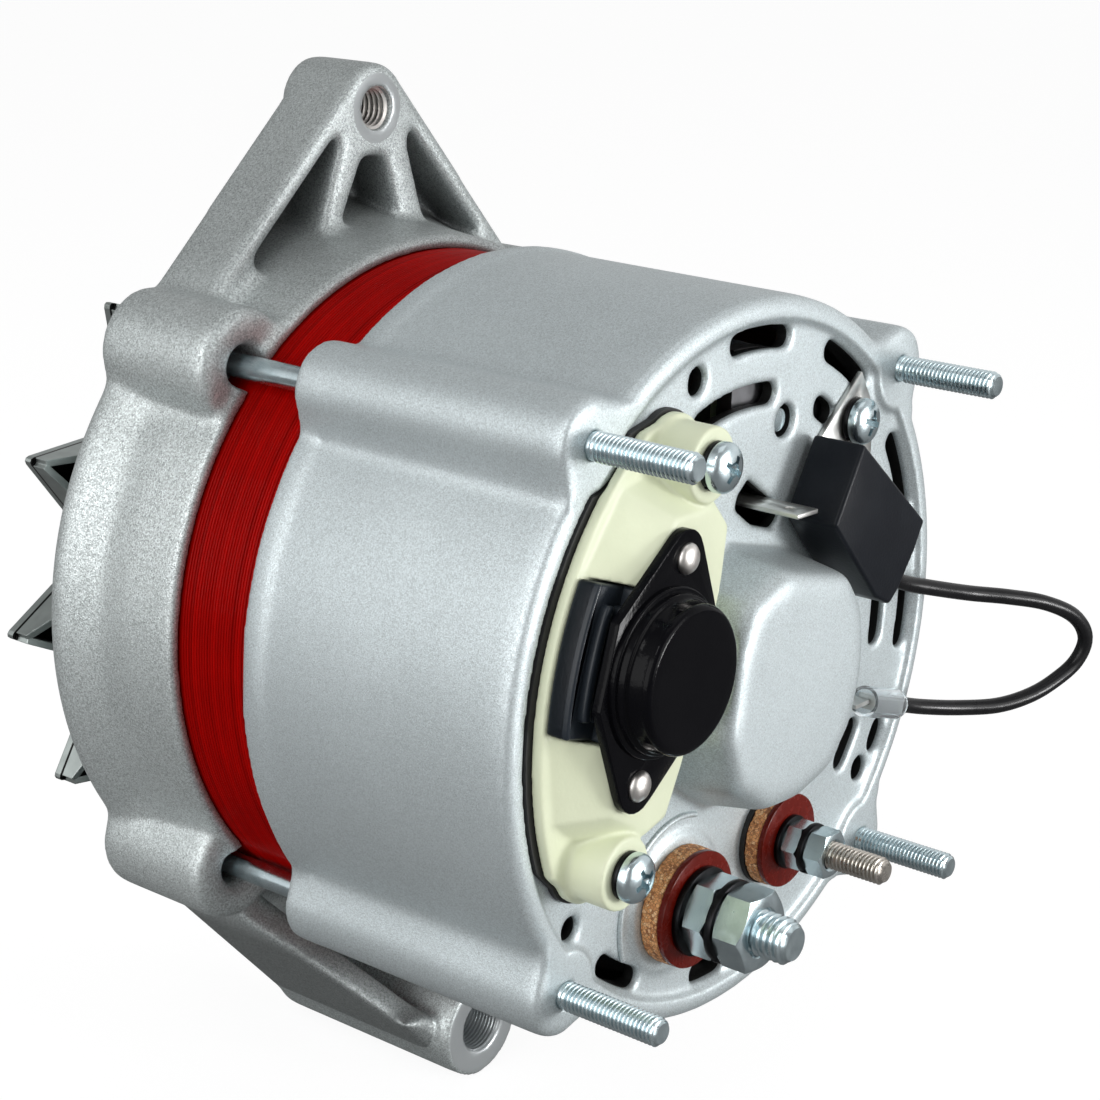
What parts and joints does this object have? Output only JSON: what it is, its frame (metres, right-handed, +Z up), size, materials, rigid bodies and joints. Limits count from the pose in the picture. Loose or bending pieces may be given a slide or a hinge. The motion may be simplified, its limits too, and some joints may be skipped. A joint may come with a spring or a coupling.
{
  "type": "alternator",
  "caption": "Claw-pole alternator with a threaded ear, a pivot foot, slotted housings, a rear brush holder with regulator, terminal studs and a suppression capacitor.",
  "frame": {"origin": "centre of the circle through the four bolt ends, on the rear rim of the rear housing and on the shaft axis", "axes": "+Y along the shaft towards the fan, +Z up to the threaded ear, +X to the right as seen from behind"},
  "size_m": [0.1576, 0.1745, 0.1941],
  "materials": {
    "cast_front": "coarse sand-cast, grainy",
    "cast_rear": "fine, shot-blasted casting",
    "red_varnish": "glossy deep red varnish on laminations",
    "copper_wire": "enamelled copper wire",
    "zinc_steel": "bluish zinc plate",
    "plain_steel": "turned steel",
    "bearing_steel": "ground bearing steel",
    "forged_steel": "forged, dark",
    "spring_steel": "drawn spring wire",
    "black_steel": "black finished steel",
    "plate_aluminium": "pressed plate",
    "rivet_aluminium": "set rivet heads",
    "diode_metal": "plated diode cups",
    "stud_nickel": "nickel plate",
    "tin_plate": "tin-plated sheet",
    "fan_steel": "zinc-plated pressed sheet",
    "ring_copper": "turned copper",
    "cage_brass": "pressed brass",
    "carbon": "electrographite",
    "cork": "orange-brown speckled cork",
    "red_fibre": "dark red vulcanised fibre",
    "black_rubber": "matt black",
    "cream_plastic": "pale cream moulding",
    "black_plastic": "satin black moulding",
    "capacitor_black": "soft matt black moulding",
    "gloss_black": "gloss black",
    "lead_pvc": "gloss black sheath",
    "clear_sleeve": "clear sleeve"
  },
  "bodies": {
    "housing": {"front_housing": "cast_front", "rear_housing": "cast_rear", "stator_core": "red_varnish", "stator_winding": "copper_wire", "through_bolts": "zinc_steel", "outer_races": "bearing_steel", "bearing_retainer": "plain_steel", "retainer_screws": "zinc_steel", "positive_plate": "plate_aluminium", "negative_plate": "plate_aluminium", "diodes": "diode_metal", "diode_board": "black_plastic", "rectifier_spacers": "cream_plastic", "rectifier_screws": "zinc_steel", "b_plus_stud": "zinc_steel", "b_plus_nuts": "zinc_steel", "d_plus_stud": "stud_nickel", "d_plus_nuts": "zinc_steel", "stud_bushes": "black_plastic", "cork_rings": "cork", "fibre_washers": "red_fibre", "flat_washers": "black_steel", "lock_washers": "black_steel", "d_gasket": "black_rubber", "brush_holder": "cream_plastic", "holder_gasket": "black_rubber", "terminal_block": "black_plastic", "regulator_plate": "black_plastic", "regulator_cap": "gloss_black", "regulator_rivets": "rivet_aluminium", "cover_screws": "zinc_steel", "capacitor_block": "capacitor_black", "capacitor_bracket": "tin_plate", "capacitor_lead": "lead_pvc", "lead_terminal": "tin_plate", "lead_sleeve": "clear_sleeve", "lead_blade": "tin_plate", "spade_terminal": "tin_plate", "brush_spring_1": "spring_steel", "brush_spring_2": "spring_steel"},
    "rotor": {"shaft": "plain_steel", "rear_claw_pole": "forged_steel", "front_claw_pole": "forged_steel", "pole_core": "forged_steel", "coil_bobbin": "cream_plastic", "field_coil": "copper_wire", "slip_rings": "ring_copper", "ring_insulator": "black_plastic", "inner_races": "bearing_steel", "shaft_collar": "plain_steel", "fan": "fan_steel"},
    "front_ball_set": {"front_balls": "bearing_steel", "front_cage": "cage_brass"},
    "rear_ball_set": {"rear_balls": "bearing_steel", "rear_cage": "cage_brass"},
    "upper_brush": {"brush_1": "carbon"},
    "lower_brush": {"brush_2": "carbon"}
  },
  "joints": [
    {"name": "rotor_spin", "type": "hinge", "parent": "housing", "child": "rotor", "pos_m": [0, 0.0656, 0], "axis": [0, 1, 0], "continuous": true},
    {"name": "front_balls_spin", "type": "hinge", "parent": "housing", "child": "front_ball_set", "pos_m": [0, 0.0656, 0], "axis": [0, 1, 0], "continuous": true},
    {"name": "rear_balls_spin", "type": "hinge", "parent": "housing", "child": "rear_ball_set", "pos_m": [0, 0.0656, 0], "axis": [0, 1, 0], "continuous": true},
    {"name": "brush_1_slide", "type": "slide", "parent": "housing", "child": "upper_brush", "axis": [-0.9659, 0, 0.2588], "range_m": [0, 0.006], "stiffness_N_per_m": 180, "springref_m": -0.012, "deforming": ["brush_spring_1"]},
    {"name": "brush_2_slide", "type": "slide", "parent": "housing", "child": "lower_brush", "axis": [-0.9659, 0, 0.2588], "range_m": [0, 0.006], "stiffness_N_per_m": 180, "springref_m": -0.012, "deforming": ["brush_spring_2"]}
  ],
  "couplings": [
    {"joint": "front_balls_spin", "follows": "rotor_spin", "ratio": 0.3656},
    {"joint": "rear_balls_spin", "follows": "rotor_spin", "ratio": 0.38}
  ]
}
